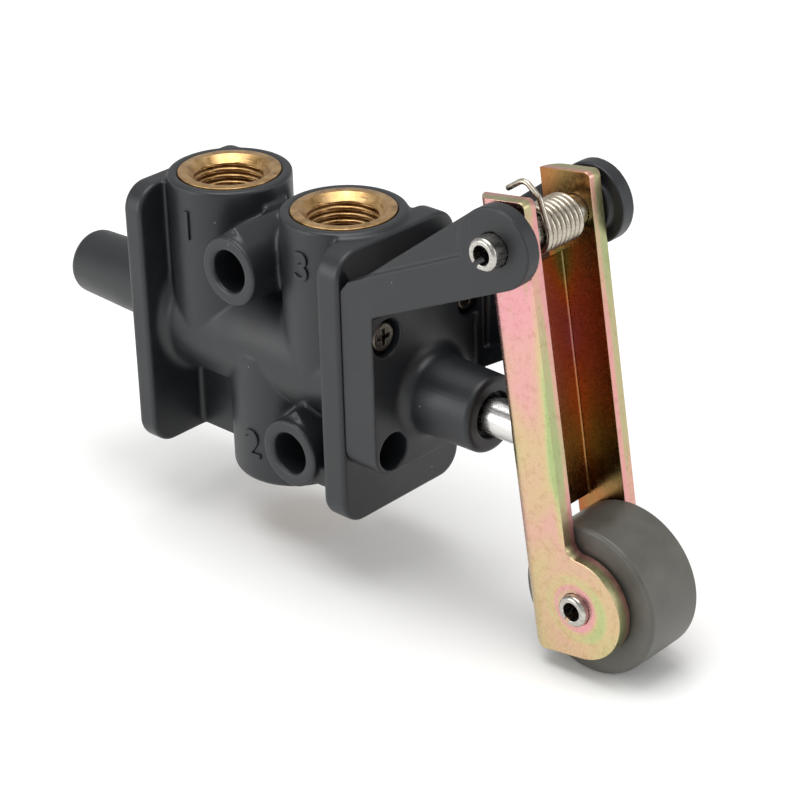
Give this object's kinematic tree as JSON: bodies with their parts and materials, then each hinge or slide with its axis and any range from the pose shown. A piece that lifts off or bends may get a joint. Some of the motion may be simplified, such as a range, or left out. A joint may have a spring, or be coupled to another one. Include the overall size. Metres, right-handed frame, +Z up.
{
  "type": "roller lever air valve",
  "caption": "Mechanical spool valve with threaded brass ports, a black moulded body, and a sprung channel lever whose roller presses the plunger.",
  "frame": {"origin": "centre of the upper mounting hole on the valve's middle plane", "axes": "+X along the spool towards the plunger and lever, -Y the front, +Y the rear mounting side, +Z up towards the two top ports"},
  "size_m": [0.1, 0.0234, 0.0596],
  "materials": {
    "body_plastic": "moulded black glass-filled nylon, satin",
    "cap_plastic": "moulded black plastic, satin",
    "brass": "machined",
    "seal_rubber": "moulded black nitrile rubber",
    "spacer_plastic": "moulded natural acetal",
    "spool_aluminium": "turned and anodised",
    "bright_steel": "ground stainless steel",
    "spring_steel": "drawn stainless spring wire",
    "zinc_yellow": "pressed steel, zinc plated and yellow passivated",
    "screw_steel": "black oxidised steel",
    "roller_plastic": "turned grey plastic"
  },
  "bodies": {
    "valve": {"valve_body": "body_plastic", "port_insert_1": "brass", "port_insert_2": "brass", "port_insert_3": "brass", "spring_cap": "cap_plastic", "cap_gasket": "seal_rubber", "return_spring": "spring_steel", "spool_seal_1": "seal_rubber", "spool_seal_2": "seal_rubber", "spool_seal_3": "seal_rubber", "spool_seal_4": "seal_rubber", "seal_spacer_1": "spacer_plastic", "seal_spacer_2": "spacer_plastic", "seal_spacer_3": "spacer_plastic", "seal_retainer": "spacer_plastic", "plunger_guide": "spacer_plastic", "plunger_wiper": "seal_rubber", "bracket_gasket": "seal_rubber", "lever_bracket": "body_plastic", "bracket_screws": "screw_steel", "pivot_pin": "bright_steel", "torsion_spring": "spring_steel"},
    "plunger": {"plunger": "bright_steel", "spool": "spool_aluminium"},
    "lever": {"lever_channel": "zinc_yellow", "roller_pin": "bright_steel"},
    "roller": {"roller": "roller_plastic"}
  },
  "joints": [
    {"name": "lever_hinge", "type": "hinge", "parent": "valve", "child": "lever", "pos_m": [0.0422, 0, 0.0145], "axis": [0, 1, 0], "range_deg": [0, 9], "stiffness_Nm_per_rad": 0.5, "springref_deg": -20.05, "deforming": ["torsion_spring"]},
    {"name": "plunger_slide", "type": "slide", "parent": "valve", "child": "plunger", "axis": [-1, 0, 0], "range_m": [0, 0.0047], "deforming": ["return_spring"]},
    {"name": "roller_spin", "type": "hinge", "parent": "lever", "child": "roller", "pos_m": [0.05207, 0, -0.02953], "axis": [0, 1, 0], "continuous": true}
  ],
  "couplings": [
    {"joint": "plunger_slide", "follows": "lever_hinge", "m_per_rad": 0.02706}
  ]
}
